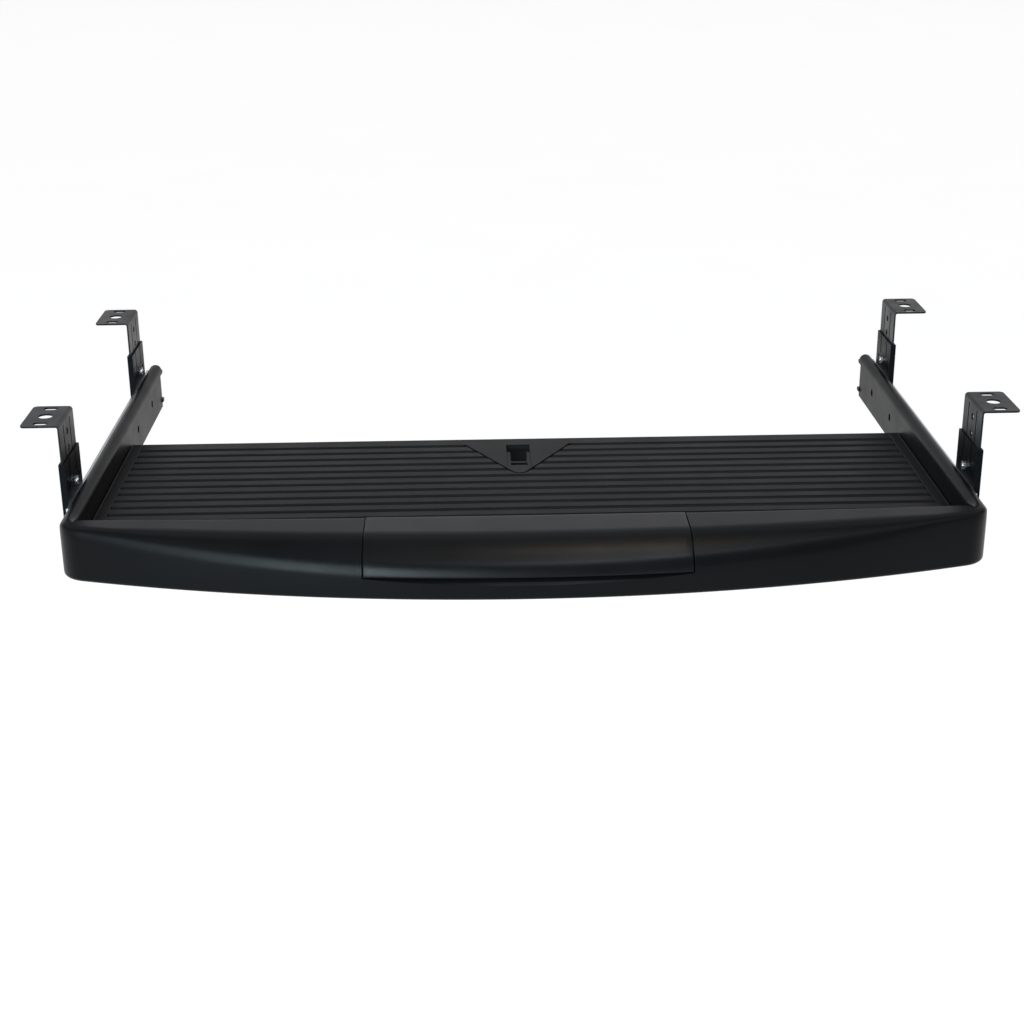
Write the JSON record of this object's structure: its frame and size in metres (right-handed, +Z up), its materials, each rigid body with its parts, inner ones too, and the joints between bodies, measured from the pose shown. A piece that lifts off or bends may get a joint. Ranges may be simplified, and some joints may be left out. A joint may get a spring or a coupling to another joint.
{
  "type": "under-desk keyboard tray",
  "caption": "Sliding keyboard tray with a bowed palm rest and a grooved deck, hung under a desk on ball slides and height-adjustable angle brackets.",
  "frame": {"origin": "centre of the four round desk holes, on the desk's underside", "axes": "+X to the user's right, +Y to the back of the desk, +Z up; the tray pulls out along -Y"},
  "size_m": [0.6236, 0.388, 0.0805],
  "materials": {
    "tray_plastic": "fine satin grain",
    "panel_plastic": "fine satin grain, a little lighter",
    "deck_plastic": "matte grain",
    "bracket_black": "satin black powder coat",
    "slide_zinc": "bright zinc plate",
    "ball_steel": "polished",
    "bumper_rubber": "matte",
    "fastener_zinc": "bright zinc plate",
    "screw_black": "black oxide"
  },
  "bodies": {
    "desk_mount": {"upper_bracket_front_left": "bracket_black", "upper_bracket_front_right": "bracket_black", "upper_bracket_rear_left": "bracket_black", "upper_bracket_rear_right": "bracket_black"},
    "carriage": {"lower_bracket_front_left": "bracket_black", "lower_bracket_front_right": "bracket_black", "lower_bracket_rear_left": "bracket_black", "lower_bracket_rear_right": "bracket_black", "outer_rail_left": "slide_zinc", "outer_rail_right": "slide_zinc", "rail_bumper_left": "bumper_rubber", "rail_bumper_right": "bumper_rubber", "height_bolts": "fastener_zinc", "height_nuts": "fastener_zinc", "rail_rivets": "fastener_zinc"},
    "tray": {"palm_rest": "tray_plastic", "centre_panel": "panel_plastic", "side_arm_left": "tray_plastic", "side_arm_right": "tray_plastic", "ribbed_deck": "deck_plastic", "cable_clip": "deck_plastic", "inner_rail_left": "slide_zinc", "inner_rail_right": "slide_zinc", "rail_screws": "fastener_zinc", "deck_screws": "screw_black", "frame_screws": "screw_black"},
    "cage_left": {"ball_cage_left": "slide_zinc", "bearing_balls_left": "ball_steel"},
    "cage_right": {"ball_cage_right": "slide_zinc", "bearing_balls_right": "ball_steel"}
  },
  "joints": [
    {"name": "height_adjust", "type": "slide", "parent": "desk_mount", "child": "carriage", "axis": [0, 0, 1], "range_m": [0, 0.014]},
    {"name": "tray_slide", "type": "slide", "parent": "carriage", "child": "tray", "axis": [0, -1, 0], "range_m": [0, 0.215]},
    {"name": "cage_left_roll", "type": "slide", "parent": "carriage", "child": "cage_left", "axis": [0, -1, 0], "range_m": [0, 0.1075]},
    {"name": "cage_right_roll", "type": "slide", "parent": "carriage", "child": "cage_right", "axis": [0, -1, 0], "range_m": [0, 0.1075]}
  ],
  "couplings": [
    {"joint": "cage_left_roll", "follows": "tray_slide", "ratio": 0.5},
    {"joint": "cage_right_roll", "follows": "tray_slide", "ratio": 0.5}
  ]
}
